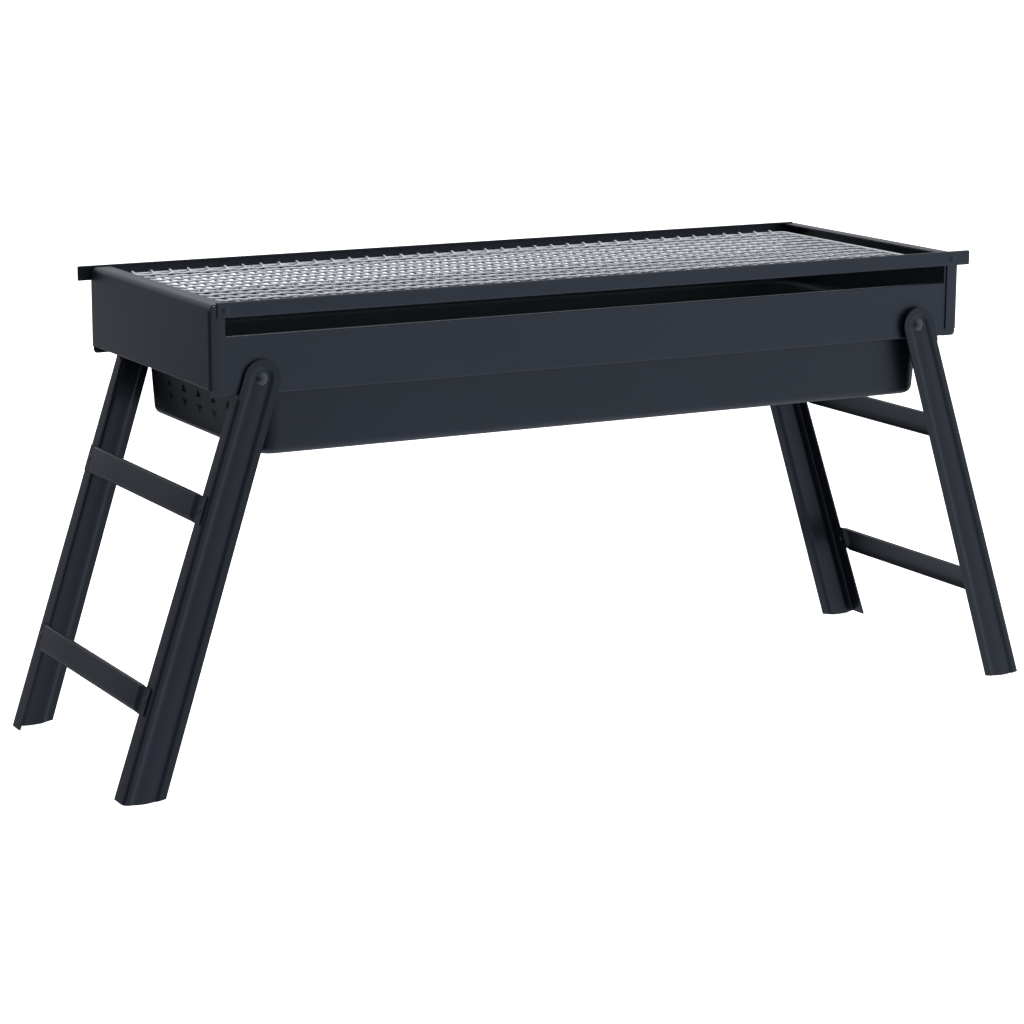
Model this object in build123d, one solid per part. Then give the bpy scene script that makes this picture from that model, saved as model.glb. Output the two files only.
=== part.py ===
from build123d import *
import os
from math import atan, cos, degrees, radians, sin, tan

os.makedirs("parts", exist_ok=True)

# Folding camp grill. Millimetres, +Z up, +X along the length, the front faces -Y.
# The origin is on the ground, under the middle of the box.

# Overall sizes
box_length = 600.0  # between the outer faces of the end plates
box_width = 215.0  # over the two rails
stand_height = 330.0  # ground to the top of the rails
box_height = 62.5  # top of the rails to the lower edge of the side panels

# Sheet and fits
sheet = 1.0  # rails, panels, end plates, ledges and pan
leg_sheet = 1.2  # legs and crossbars
lift_gap = 0.5  # between a piece that lifts out and what it passes
swing_gap = 0.3  # between a folding piece and what it swings past
pin_gap = 0.05  # all round a pivot rivet in its leg
rest_gap = 0.1  # under the grill mesh, where it lies on the rails

# Rails: a face, a narrow hem on top and a ledge below that carries the grill mesh
rail_height = 10.5
rail_hem = 2.0
rail_ledge = 4.5
rail_overhang = 9.0  # past the box at the far end
rail_setback = 6.0  # short of the box at the near end
rail_rivet_radius = 2.0
rail_rivet_head = 0.6
rail_rivet_inset = 6.0  # from the end plate's outer face

# Side panels, with an air slot along the top
slot_height = 12.5
slot_end_width = 12.0  # of panel left at each end of the slot
slot_lip = 3.0  # turned in along the slot
panel_hem = 3.0  # turned in along the lower edge
panel_corner = 2.5

# End plates: trays that open inwards
plate_raise = 5.0  # lower edge above the side panels' lower edge
plate_top_flange = 14.0
plate_side_flange = 10.0
plate_bottom_flange = 5.0
plate_top_bend = 4.0
plate_side_bend = 2.5

# Charcoal pan and the ledges that it hangs on
pan_length = 548.0  # at its mouth, without the rim
pan_depth = 60.7
pan_shift = 6.6  # the loose pan stands this far to the right of the middle
pan_taper = 4.0  # degrees
pan_corner = 20.0
pan_bottom_bend = 6.0
pan_rim = 9.0  # sticks out at each end
pan_bottom_drop = 106.0  # top of the rails to the pan's underside
ledge_grip = 6.0  # of rim over each ledge
ledge_width = 160.0
ledge_drop = 9.0

# Triangular vents in the pan's ends
vent_columns = 5
vent_spacing = 26.0
vent_side = 9.5
vent_height = 6.5
vent_middle = 22.5  # above the pan's underside
vent_gap = 5.0  # between the rows

# Grill mesh
wire = 1.6
border_wire = 2.4
border_corner = 4.8
mesh_pitch = 14.2
mesh_end_gap = 1.5  # to the end plates' flanges
wire_end_gap = 0.15  # wires stop this short of the border wire

# Ladders: two legs and two crossbars each
pivot_inset = 37.0  # from the box's ends
fold_gap = 1.3  # between a folded leg's flange and the edge of the side panel above it
splay = 17.9  # degrees from upright
leg_width = 26.0  # at the pivot
leg_foot_width = 29.4
leg_flange = 11.0  # at the pivot
leg_foot_flange = 15.5
leg_recess_width = 12.0
leg_recess = 1.0
crossbar_reaches = (94.0, 226.0)  # from the pivots
crossbar_width = 19.0
crossbar_depth = 4.6
crossbar_bend = 3.5
crossbar_slope = 6.0
crossbar_tab = 9.0  # of flat tab on each flange
crossbar_tab_width = 15.0

# Rivets
pivot_radius = 3.0
pivot_head_radius = 4.6
pivot_head = 1.6
crossbar_rivet_radius = 2.0
crossbar_rivet_head_radius = 3.0
crossbar_rivet_head = 0.8
spacer_radius = 6.5

# Places that follow from the sizes
half_length = box_length / 2
rail_outer = box_width / 2
flange_outer = rail_outer - sheet
panel_outer = flange_outer - sheet
panel_inner = panel_outer - sheet
rail_bottom = stand_height - rail_height
panel_bottom = stand_height - box_height
slot_bottom = rail_bottom - slot_height
plate_top = stand_height - sheet
plate_bottom = panel_bottom + plate_raise
plate_inner = half_length - sheet
pivot_x = half_length - pivot_inset
pivot_z = panel_bottom - fold_gap + leg_width / 2 - leg_sheet
ledge_edge = rail_outer - sheet - rail_ledge
pan_bottom = stand_height - pan_bottom_drop
pan_top = pan_bottom + pan_depth
pan_width = 2 * (ledge_edge - lift_gap)
rim_length = pan_length + 2 * pan_rim
rest_z = pan_top - sheet
mesh_bottom = rail_bottom + sheet + rest_gap
mesh_half_length = half_length - plate_top_flange - mesh_end_gap
mesh_half_width = rail_outer - sheet - rail_hem - lift_gap

# The right ladder stands outside the left one, so that the two lie side by side when folded
leg_stack = leg_sheet + leg_recess
leg_reach = pivot_z / cos(radians(splay))
leg_taper = degrees(atan((leg_foot_width - leg_width) / 2 / leg_reach))
left_leg_inner = panel_outer + swing_gap
right_leg_inner = left_leg_inner + leg_stack + swing_gap


def block(low, high):
    """A box from its lowest corner to its highest."""
    size = [h - l for l, h in zip(low, high)]
    middle = [(h + l) / 2 for l, h in zip(low, high)]
    return Pos(*middle) * Box(*size)


def along_x(points, start, end):
    """A closed outline of (y, z) points carried along X."""
    outline = make_face(Polyline(*points, close=True))
    return Pos(start, 0, 0) * extrude(Plane.YZ * outline, amount=end - start)


def rod_y(radius, start, end, x, z):
    """A round bar along Y."""
    return Pos(x, (start + end) / 2, z) * Rot(90, 0, 0) * Cylinder(radius, end - start)


def rod_x(radius, start, end, y, z):
    """A round bar along X."""
    return Pos((start + end) / 2, y, z) * Rot(0, 90, 0) * Cylinder(radius, end - start)


def dome(radius, height):
    """A low rivet head that stands on the XY plane."""
    ball = (radius**2 + height**2) / (2 * height)
    return (Pos(0, 0, height - ball) * Sphere(ball)) & (Pos(0, 0, height / 2) * Cylinder(radius + 1, height))


def turned_half_round(shape):
    """The same piece on the opposite side, half a turn about Z away."""
    return Rot(0, 0, 180) * shape


def handed(shape, ladder):
    """A left-ladder piece as it is, or mirrored for the right ladder."""
    if ladder == "left":
        return shape
    return mirror(shape, about=Plane.YZ)


def save(shape, node):
    """Write one node."""
    export_step(shape, f"parts/{node}.step")


# ---- rails ----
def make_rail():
    """The front rail: its long overhang is at +X."""
    start = -half_length + rail_setback
    end = half_length + rail_overhang
    face = block((start, -rail_outer, rail_bottom), (end, -flange_outer, stand_height))
    hem = block((start, -rail_outer, plate_top), (end, -flange_outer + rail_hem, stand_height))
    ledge_half = plate_inner - plate_side_flange
    ledge = block((-ledge_half, -flange_outer, rail_bottom), (ledge_half, -ledge_edge, rail_bottom + sheet))
    rail = face + hem + ledge
    for x in rail_rivet_places():
        rail -= rod_y(rail_rivet_radius, -rail_outer, -flange_outer, x, rail_rivet_z())
    return rail


def rail_rivet_places():
    """Where one rail's rivets are along X."""
    return (-half_length + rail_setback + rail_rivet_inset, half_length - rail_rivet_inset)


def rail_rivet_z():
    """The height of the rail rivets."""
    return rail_bottom + rail_height / 2


def make_rail_rivets():
    """Flat rivets through a rail and the end plate's side flange."""
    rivets = []
    for x in rail_rivet_places():
        shank = rod_y(rail_rivet_radius, -rail_outer, -panel_outer, x, rail_rivet_z())
        head = Pos(x, -rail_outer, rail_rivet_z()) * Rot(90, 0, 0) * dome(rail_rivet_radius + 1, rail_rivet_head)
        rivets.append(shank + head)
    return rivets


# ---- side panels ----
def make_side_panel():
    """The front panel, with its slot open to the underside of the rail."""
    corner = plate_inner
    face = block((-corner, -panel_outer, panel_bottom), (corner, -panel_inner, rail_bottom))
    lower_edges = face.edges().filter_by(Axis.Y).sort_by(Axis.Z)[:2]
    face = fillet(lower_edges, panel_corner)
    slot_half = half_length - slot_end_width
    slot = block((-slot_half, -panel_outer, slot_bottom), (slot_half, -panel_inner, rail_bottom))
    lip = block((-slot_half, -panel_inner, slot_bottom - sheet), (slot_half, -panel_inner + slot_lip, slot_bottom))
    hem_half = corner - plate_bottom_flange - panel_corner
    hem = block(
        (-hem_half, -panel_inner, panel_bottom),
        (hem_half, -panel_inner + min(panel_hem, panel_hem_room()), panel_bottom + sheet),
    )
    panel = face - slot + lip + hem
    for x in (-pivot_x, pivot_x):
        panel -= rod_y(pivot_radius, -panel_outer, -panel_inner, x, pivot_z)
    return panel


def panel_hem_room():
    """How far the hem can turn in before it meets the pan."""
    return panel_inner - pan_width / 2 - lift_gap


# ---- end plates ----
def make_end_plate():
    """The left end plate: a tray with flanges of three widths."""
    deep = plate_top_flange
    outer = block((-half_length, -flange_outer, plate_bottom), (-half_length + deep, flange_outer, plate_top))
    outside = outer.faces().sort_by(Axis.X)[0]
    top_edge = outside.edges().filter_by(Axis.Y).sort_by(Axis.Z)[-1]
    outer = fillet(top_edge, plate_top_bend)
    upright = outer.edges().filter_by(Axis.Z).group_by(Axis.X)[0]
    outer = fillet(upright, plate_side_bend)
    inner = block(
        (-plate_inner, -flange_outer + sheet, plate_bottom + sheet),
        (-half_length + deep, flange_outer - sheet, plate_top - sheet),
    )
    plate = outer - inner
    # narrower flanges at the sides and the bottom
    under_top = plate_top - sheet
    side_end = -half_length + plate_side_flange
    plate -= block((side_end, -flange_outer, plate_bottom), (-half_length + deep, flange_outer, under_top))
    bottom_end = -half_length + plate_bottom_flange
    plate -= block(
        (bottom_end, -flange_outer + sheet, plate_bottom),
        (side_end, flange_outer - sheet, plate_bottom + sheet),
    )
    for side in (-1, 1):
        start, end = sorted((side * panel_outer, side * panel_inner))
        plate -= block((-plate_inner, start, plate_bottom), (bottom_end, end, plate_bottom + sheet))
    # the rails' rivets go through the side flanges
    for y_side, x in rail_rivets_at_left_end():
        start, end = sorted((y_side * flange_outer, y_side * panel_outer))
        plate -= rod_y(rail_rivet_radius, start, end, x, rail_rivet_z())
    return plate


def rail_rivets_at_left_end():
    """The front rail's rivet at the left end, and the rear rail's."""
    near, far = rail_rivet_places()
    return ((-1, near), (1, -far))


# ---- pan ledges ----
def make_pan_ledge(rim_end):
    """The left angle, under a rim that ends this far from the middle."""
    reach = rim_end - ledge_grip
    half = ledge_width / 2
    shelf = block((-plate_inner, -half, rest_z - sheet), (-reach, half, rest_z))
    back = block((-plate_inner, -half, rest_z - ledge_drop), (-plate_inner + sheet, half, rest_z))
    return shelf + back


# ---- charcoal pan ----
def pan_body(inset, bend):
    """A tapered tub with rounded corners, shrunk by inset all round."""
    mouth = RectangleRounded(pan_length - 2 * inset, pan_width - 2 * inset, pan_corner - inset)
    tub = extrude(Pos(0, 0, pan_top) * mouth, amount=-(pan_depth - inset), taper=pan_taper)
    floor_edges = tub.faces().sort_by(Axis.Z)[0].edges()
    return fillet(floor_edges, bend)


def make_pan():
    """The pan with its rim and its end vents."""
    outside = pan_body(0, pan_bottom_bend)
    inside = pan_body(sheet, pan_bottom_bend - sheet)
    rim = Pos(0, 0, rest_z) * extrude(RectangleRounded(rim_length, pan_width, pan_rim), amount=sheet)
    pan = outside + rim - inside
    for column in range(vent_columns):
        y = (column - (vent_columns - 1) / 2) * vent_spacing
        for up in (1, -1):
            base = pan_bottom + vent_middle + up * vent_gap / 2
            points = [(y - vent_side / 2, base), (y + vent_side / 2, base), (y, base + up * vent_height)]
            pan -= along_x(points, -pan_length, pan_length)
    return Pos(pan_shift, 0, 0) * pan


# ---- grill mesh ----
def make_mesh_border():
    """The wire that runs round the mesh."""
    centre_z = mesh_bottom + wire
    x = mesh_half_length - border_wire / 2
    y = mesh_half_width - border_wire / 2
    path = Pos(0, 0, centre_z) * RectangleRounded(2 * x, 2 * y, border_corner)
    ring = path.faces()[0].outer_wire()
    start = Plane(origin=ring @ 0, z_dir=ring % 0)
    return sweep(start * Circle(border_wire / 2), path=ring, transition=Transition.ROUND)


def wire_places(half_room):
    """Where parallel wires lie in a width, one pitch apart and centred."""
    count = int(2 * half_room / mesh_pitch)
    return [(i - (count - 1) / 2) * mesh_pitch for i in range(count)]


def make_long_wires():
    """The wires along X, in the upper layer."""
    reach = mesh_half_length - border_wire - wire_end_gap
    z = mesh_bottom + wire * 1.5
    return [rod_x(wire / 2, -reach, reach, y, z) for y in wire_places(mesh_half_width - border_wire)]


def make_cross_wires():
    """The wires along Y, in the lower layer."""
    reach = mesh_half_width - border_wire - wire_end_gap
    z = mesh_bottom + wire / 2
    return [rod_y(wire / 2, -reach, reach, x, z) for x in wire_places(mesh_half_length - border_wire)]


# ---- ladders ----
# Each is made hanging straight down from a pivot on the Y axis, then splayed and moved to its pivot.
def leg_outline(half_width, reach):
    """A strip in the XZ plane with a round top about the pivot. It widens towards the foot."""
    end_half = half_width + reach * tan(radians(leg_taper))
    points = [(-half_width, 0), (half_width, 0), (end_half, -reach), (-end_half, -reach)]
    return Plane.XZ * (Circle(half_width) + make_face(Polyline(*points, close=True)))


def make_leg(leg_inner):
    """The left front leg, as it hangs: the outer flange is at -X."""
    reach = leg_reach + leg_width
    half = leg_width / 2
    recess_half = leg_recess_width / 2
    # the XZ plane's normal is -Y, so amounts run outwards from the box
    rim = Pos(0, -leg_recess, 0) * extrude(leg_outline(half, reach), amount=leg_sheet)
    rim -= Pos(0, -leg_recess, 0) * extrude(leg_outline(recess_half, reach), amount=leg_sheet)
    floor = extrude(leg_outline(recess_half + leg_sheet, reach), amount=leg_sheet)
    start = flange_start()
    flange_side = [
        (-leg_stack, -start),
        (-leg_stack, -reach),
        (flange_width(reach) - leg_stack, -reach),
        (flange_width(start) - leg_stack, -start),
    ]
    leg = rim + floor + on_flange(along_x(flange_side, 0, leg_sheet), 0)
    leg -= rod_y(pivot_radius + pin_gap, -leg_stack, 0, 0, 0)
    leg = Pos(0, -leg_inner, 0) * leg
    for reach_of_bar in crossbar_reaches:
        hole = rod_x(crossbar_rivet_radius, 0, leg_sheet, -rivet_y(leg_inner, reach_of_bar), 0)
        leg -= on_flange(hole, reach_of_bar)
    return leg


def on_flange(shape, reach):
    """Carry a shape that stands on the YZ plane out to the flanges' outer faces, this far below the pivots."""
    return Pos(-leg_width / 2, 0, 0) * Rot(0, leg_taper, 0) * Pos(0, 0, -reach) * shape


def flange_start():
    """How far below the pivot the flange starts: just under the side panel's edge when splayed."""
    angle = radians(splay)
    drop = pivot_z - panel_bottom + swing_gap
    return (drop + leg_width / 2 * sin(angle)) / cos(angle)


def flange_width(reach):
    """The flange's width this far below the pivot."""
    return leg_flange + (leg_foot_flange - leg_flange) * reach / leg_reach


def bar_half(leg_inner, reach_of_bar):
    """Half a crossbar's length without its tabs: it ends at the flanges' inner edges."""
    return leg_inner + leg_stack - flange_width(reach_of_bar)


def rivet_y(leg_inner, reach_of_bar):
    """How far from the middle a crossbar's rivets are: half way along its tabs."""
    return bar_half(leg_inner, reach_of_bar) + crossbar_tab / 2


def bar_block(half, width, depth, bend):
    """A bar with sloping ends and rounded long edges. It stands out to -X from x = 0."""
    points = [(0, -half), (-depth, -half + crossbar_slope), (-depth, half - crossbar_slope), (0, half)]
    outline = make_face(Polyline(*points, close=True))
    bar = Pos(0, 0, -width / 2) * extrude(outline, amount=width)
    long_edges = bar.faces().sort_by(Axis.X)[0].edges().filter_by(Axis.Y)
    return fillet(long_edges, bend)


def make_crossbar(leg_inner, reach_of_bar):
    """A crossbar of the left ladder, as it hangs: a pressed channel with a flat tab at each end."""
    half = bar_half(leg_inner, reach_of_bar)
    outer = bar_block(half, crossbar_width, crossbar_depth, crossbar_bend)
    inner = bar_block(
        half - leg_sheet,
        crossbar_width - 2 * leg_sheet,
        crossbar_depth - leg_sheet,
        crossbar_bend - leg_sheet,
    )
    bar = outer - inner
    for side in (-1, 1):
        start, end = sorted((side * (half - 2 * leg_sheet), side * (half + crossbar_tab)))
        tab = block((-leg_sheet, start, -crossbar_tab_width / 2), (0, end, crossbar_tab_width / 2))
        bar += tab
        bar -= rod_x(crossbar_rivet_radius, -leg_sheet, 0, side * rivet_y(leg_inner, reach_of_bar), 0)
    return on_flange(bar, reach_of_bar)


def make_crossbar_rivets(leg_inner):
    """The four rivets that hold a ladder's crossbars, as it hangs."""
    rivets = []
    head = dome(crossbar_rivet_head_radius, crossbar_rivet_head)
    for reach_of_bar in crossbar_reaches:
        for side in (-1, 1):
            y = side * rivet_y(leg_inner, reach_of_bar)
            shank = rod_x(crossbar_rivet_radius, -leg_sheet, leg_sheet, y, 0)
            outer_head = Pos(-leg_sheet, y, 0) * Rot(0, -90, 0) * head
            inner_head = Pos(leg_sheet, y, 0) * Rot(0, 90, 0) * head
            rivets.append(on_flange(shank + outer_head + inner_head, reach_of_bar))
    return rivets


def splayed(shape):
    """Turn a hanging left-ladder piece out by the splay and move it to the left pivots."""
    return Pos(-pivot_x, 0, pivot_z) * Rot(0, splay, 0) * shape


def grounded(leg):
    """Cut a leg's foot flat on the ground."""
    below = block((-box_length, -box_width, -stand_height), (box_length, box_width, 0))
    return leg - below


# ---- pivots ----
def make_pivot_rivet(leg_inner):
    """The left front pivot rivet, through the leg and the panel."""
    outer = -(leg_inner + leg_sheet + pin_gap)
    inner = -panel_inner
    shank = rod_y(pivot_radius, outer, inner, -pivot_x, pivot_z)
    head = dome(pivot_head_radius, pivot_head)
    outer_head = Pos(-pivot_x, outer, pivot_z) * Rot(90, 0, 0) * head
    room = panel_hem_room()
    inner_head = Pos(-pivot_x, inner, pivot_z) * Rot(-90, 0, 0) * dome(pivot_head_radius, min(pivot_head, room))
    return shank + outer_head + inner_head


def make_spacer():
    """The ring that holds the right ladder off the panel, made at the left front pivot."""
    thickness = right_leg_inner - panel_outer - swing_gap
    ring = rod_y(spacer_radius, -panel_outer - thickness, -panel_outer, -pivot_x, pivot_z)
    return ring - rod_y(pivot_radius, -panel_outer - thickness, -panel_outer, -pivot_x, pivot_z)


# ---- write every node ----
front_rail = make_rail()
save(front_rail, "front_rail")
save(turned_half_round(front_rail), "rear_rail")

front_rivets = make_rail_rivets()
save(Compound(children=front_rivets + [turned_half_round(rivet) for rivet in front_rivets]), "rail_rivets")

front_panel = make_side_panel()
save(front_panel, "front_side_panel")
save(turned_half_round(front_panel), "rear_side_panel")

left_plate = make_end_plate()
save(left_plate, "left_end_plate")
save(turned_half_round(left_plate), "right_end_plate")

save(make_pan_ledge(rim_length / 2 - pan_shift), "left_pan_ledge")
save(turned_half_round(make_pan_ledge(rim_length / 2 + pan_shift)), "right_pan_ledge")

save(make_pan(), "charcoal_pan")

save(make_mesh_border(), "mesh_border")
save(Compound(children=make_long_wires()), "mesh_long_wires")
save(Compound(children=make_cross_wires()), "mesh_cross_wires")

for ladder, inner_face in (("left", left_leg_inner), ("right", right_leg_inner)):
    front_leg = handed(grounded(splayed(make_leg(inner_face))), ladder)
    save(front_leg, f"{ladder}_front_leg")
    save(mirror(front_leg, about=Plane.XZ), f"{ladder}_rear_leg")
    for bar_name, bar_reach in zip(("upper", "lower"), crossbar_reaches):
        save(handed(splayed(make_crossbar(inner_face, bar_reach)), ladder), f"{ladder}_{bar_name}_crossbar")
    bar_rivets = [handed(splayed(rivet), ladder) for rivet in make_crossbar_rivets(inner_face)]
    save(Compound(children=bar_rivets), f"{ladder}_crossbar_rivets")
    pivot_rivet = handed(make_pivot_rivet(inner_face), ladder)
    save(pivot_rivet, f"{ladder}_front_pivot_rivet")
    save(mirror(pivot_rivet, about=Plane.XZ), f"{ladder}_rear_pivot_rivet")

right_spacer = mirror(make_spacer(), about=Plane.YZ)
save(right_spacer, "right_front_spacer")
save(mirror(right_spacer, about=Plane.XZ), "right_rear_spacer")

print("feet at x", pivot_x + pivot_z * tan(radians(splay)))
print("foot floor planes", left_leg_inner + leg_sheet / 2, right_leg_inner + leg_sheet / 2)
print("overall width", 2 * (right_leg_inner + leg_sheet + pin_gap + pivot_head))
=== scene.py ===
import math
import bmesh
import bpy
import numpy as np
from mathutils import Matrix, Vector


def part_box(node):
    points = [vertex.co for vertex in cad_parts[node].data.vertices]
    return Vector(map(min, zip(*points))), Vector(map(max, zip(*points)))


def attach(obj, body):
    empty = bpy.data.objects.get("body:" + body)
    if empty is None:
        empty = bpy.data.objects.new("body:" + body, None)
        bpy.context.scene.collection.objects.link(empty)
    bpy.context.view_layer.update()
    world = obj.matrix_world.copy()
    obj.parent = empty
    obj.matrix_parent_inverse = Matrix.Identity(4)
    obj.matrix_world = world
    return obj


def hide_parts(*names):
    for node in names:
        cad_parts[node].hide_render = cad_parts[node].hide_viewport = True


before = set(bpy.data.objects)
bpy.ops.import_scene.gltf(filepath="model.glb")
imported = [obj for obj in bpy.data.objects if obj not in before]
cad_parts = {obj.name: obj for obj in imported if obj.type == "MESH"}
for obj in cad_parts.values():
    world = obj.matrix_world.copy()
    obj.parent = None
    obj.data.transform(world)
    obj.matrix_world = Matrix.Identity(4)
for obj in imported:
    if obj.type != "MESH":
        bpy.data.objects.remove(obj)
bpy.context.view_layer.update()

millimetre = 0.001
scene = bpy.context.scene


def cadCorners(node):
    # A node's lowest and highest corners, in millimetres.
    low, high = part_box(node)
    return np.array(low) / millimetre, np.array(high) / millimetre


class Wire:
    # A node's output that can be used in sums: each sum adds its Math node.
    def __init__(self, finish, socket):
        self.finish = finish
        self.socket = socket

    def sum(self, operation, first, second):
        return self.finish.add("ShaderNodeMath", {"operation": operation}, {0: first, 1: second})

    def __add__(self, other):
        return self.sum("ADD", self, other)

    def __radd__(self, other):
        return self.sum("ADD", other, self)

    def __sub__(self, other):
        return self.sum("SUBTRACT", self, other)

    def __rsub__(self, other):
        return self.sum("SUBTRACT", other, self)

    def __mul__(self, other):
        return self.sum("MULTIPLY", self, other)

    def __rmul__(self, other):
        return self.sum("MULTIPLY", other, self)

    def clamped(self):
        return self.finish.add("ShaderNodeClamp", {}, {0: self})


class Finish:
    # The nodes of one material, or of the surroundings, under construction.
    def __init__(self, owner):
        self.owner = owner
        owner.use_nodes = True
        self.tree = owner.node_tree
        self.tree.nodes.clear()

    def feed(self, socket, value):
        if isinstance(value, Wire):
            self.tree.links.new(value.socket, socket)
        else:
            socket.default_value = value

    def add(self, kind, settings=None, inputs=None, output=0):
        # Any node: its settings first, then the values or links of its inputs, then the output asked for.
        node = self.tree.nodes.new(kind)
        for setting, value in (settings or {}).items():
            if setting == "stops":
                ramp = node.color_ramp
                while len(ramp.elements) < len(value):
                    ramp.elements.new(0.5)
                for element, (position, grey) in zip(ramp.elements, value):
                    element.position = position
                    element.color = (grey, grey, grey, 1)
            else:
                setattr(node, setting, value)
        for socket, value in (inputs or {}).items():
            self.feed(node.inputs[socket], value)
        return None if output is None else Wire(self, node.outputs[output])

    def noise(self, place, scale, detail=2.0, roughness=0.5):
        inputs = {"Vector": place, "Scale": scale, "Detail": detail, "Roughness": roughness}
        return self.add("ShaderNodeTexNoise", {}, inputs)

    def ramp(self, factor, stops):
        return self.add("ShaderNodeValToRGB", {"stops": stops}, {0: factor})

    def rise(self, factor, edges):
        # from 0 at the first edge to 1 at the second
        return self.ramp(factor, [(edges[0], 0.0), (edges[1], 1.0)])

    def blend(self, factor, first, second):
        return self.add("ShaderNodeMix", {"data_type": "RGBA"}, {0: factor, 6: first, 7: second}, 2)

    def stretched(self, place, factors):
        return self.add("ShaderNodeVectorMath", {"operation": "MULTIPLY"}, {0: place, 1: factors})

    def dot(self, first, second):
        return self.add("ShaderNodeVectorMath", {"operation": "DOT_PRODUCT"}, {0: first, 1: second}, 1)

    def bump(self, height, strength, distance, normal=None):
        inputs = {"Height": height, "Strength": strength, "Distance": distance}
        if normal is not None:
            inputs["Normal"] = normal
        return self.add("ShaderNodeBump", {}, inputs)

    def finishWith(self, sockets):
        # sockets: the shader's own inputs by name
        shader = self.tree.nodes.new("ShaderNodeBsdfPrincipled")
        for socket, value in sockets.items():
            self.feed(shader.inputs[socket], value)
        output = self.tree.nodes.new("ShaderNodeOutputMaterial")
        self.tree.links.new(shader.outputs[0], output.inputs[0])
        return self.owner


coatLook = {  # noise scales are per metre, bump heights in metres
    "dark": (0.0048, 0.0058, 0.0090, 1),
    "light": (0.0075, 0.0088, 0.0132, 1),
    "scuff": (0.034, 0.038, 0.048, 1),
    "roughness": 0.38,
    "specular": 0.45,
    "tint": (0.80, 0.89, 1.0, 1),
    "drift": 11.0, "driftEdges": (0.30, 0.72), "driftShine": 0.10,
    "dust": 330.0, "dustEdges": (0.60, 0.80), "dustShare": 0.10, "dustDull": 0.05,
    "rub": 6.0, "rubStretch": (14.0, 90.0, 90.0), "rubEdges": (0.62, 0.86), "rubShare": 0.06,
    "wave": 28.0, "waveStrength": 0.12, "waveHeight": 0.0006,
    "peel": 900.0, "peelStrength": 0.22, "peelHeight": 0.00012,
    "middle": (0.0, 0.0, 0.27),  # of the box
    "insideSharpness": 100.0,
    # the colour of the painted shade on inner faces
    "paintedShade": (0.0015, 0.0015, 0.0016, 1),
    "paintedShadeShare": 0.0,  # share of painted shade on the inside
    "paintedShadeDull": 0.35,
}


def makeCoat(name, look):
    # Baked powder coat: slow drifts of tone, a fine orange peel, dust, faint rubbed streaks, and painted shade, a
    # darker colour with a duller shine, on faces that look towards the middle of the box.
    finish = Finish(bpy.data.materials.new(name))
    place = finish.add("ShaderNodeTexCoord", output=3)
    drift = finish.noise(place, look["drift"], 3.0)
    peel = finish.noise(place, look["peel"], 2.0, 0.45)
    wave = finish.noise(place, look["wave"], 1.0)
    dust = finish.noise(place, look["dust"], 4.0, 0.7)
    rub = finish.noise(finish.stretched(place, look["rubStretch"]), look["rub"], 3.0, 0.6)
    tone = finish.rise(drift, look["driftEdges"])
    dusty = finish.rise(dust, look["dustEdges"])
    rubbed = finish.rise(rub, look["rubEdges"])
    fromMiddle = finish.add("ShaderNodeVectorMath", {"operation": "SUBTRACT"}, {0: place, 1: look["middle"]})
    outwards = finish.add("ShaderNodeTexCoord", output=1)
    away = finish.dot(fromMiddle, outwards)
    # painted shade: faces that look towards the middle of the box get a darker colour and more roughness
    paintedShade = (away * -look["insideSharpness"]).clamped() * look["paintedShadeShare"]
    colour = finish.blend(tone, look["dark"], look["light"])
    colour = finish.blend(paintedShade, colour, look["paintedShade"])
    colour = finish.blend(dusty * look["dustShare"] + rubbed * look["rubShare"], colour, look["scuff"])
    shine = look["roughness"] + (drift - 0.5) * look["driftShine"]
    roughness = shine + dusty * look["dustDull"] + paintedShade * look["paintedShadeDull"]
    normal = finish.bump(wave, look["waveStrength"], look["waveHeight"])
    normal = finish.bump(peel, look["peelStrength"], look["peelHeight"], normal)
    return finish.finishWith({
        "Base Color": colour,
        "Roughness": roughness,
        "Metallic": 0.0,
        "Specular IOR Level": look["specular"],
        "Specular Tint": look["tint"],
        "Normal": normal,
    })


wireLook = {
    "bright": (0.88, 0.88, 0.88, 1),
    "dull": (0.62, 0.63, 0.64, 1),
    "roughness": 0.40,
    "metallic": 0.35,
    "patch": 260.0, "patchEdges": (0.32, 0.66), "patchDull": 0.14,
    "grain": 3200.0, "grainShine": 0.10, "grainStrength": 0.25, "grainHeight": 0.00006,
}


def makeWireSteel(name, look):
    # Galvanised wire: zinc patches, fine draw lines and a slightly uneven shine.
    finish = Finish(bpy.data.materials.new(name))
    place = finish.add("ShaderNodeTexCoord", output=3)
    patch = finish.noise(place, look["patch"], 3.0, 0.6)
    grain = finish.noise(place, look["grain"])
    tone = finish.rise(patch, look["patchEdges"])
    colour = finish.blend(tone, look["dull"], look["bright"])
    roughness = look["roughness"] + (1 - tone) * look["patchDull"] + (grain - 0.5) * look["grainShine"]
    return finish.finishWith({
        "Base Color": colour,
        "Roughness": roughness,
        "Metallic": look["metallic"],
        "Specular IOR Level": 0.5,
        "Normal": finish.bump(grain, look["grainStrength"], look["grainHeight"]),
    })


sheetCoat = makeCoat("SatinCoatOnBox", {**coatLook, "specular": 0.52})
legCoat = makeCoat("SatinCoatOnLegs", {**coatLook, "specular": 0.40})
# the pan's inner faces carry painted shade
panCoat = makeCoat("SatinCoatOnPan", {**coatLook, "roughness": 0.40, "paintedShadeShare": 1.0})
rivetCoat = makeCoat("CoatedRivets", {**coatLook, "roughness": 0.20, "specular": 0.8})
wireSteel = makeWireSteel("GalvanisedWire", wireLook)
print("finishes made")


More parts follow.
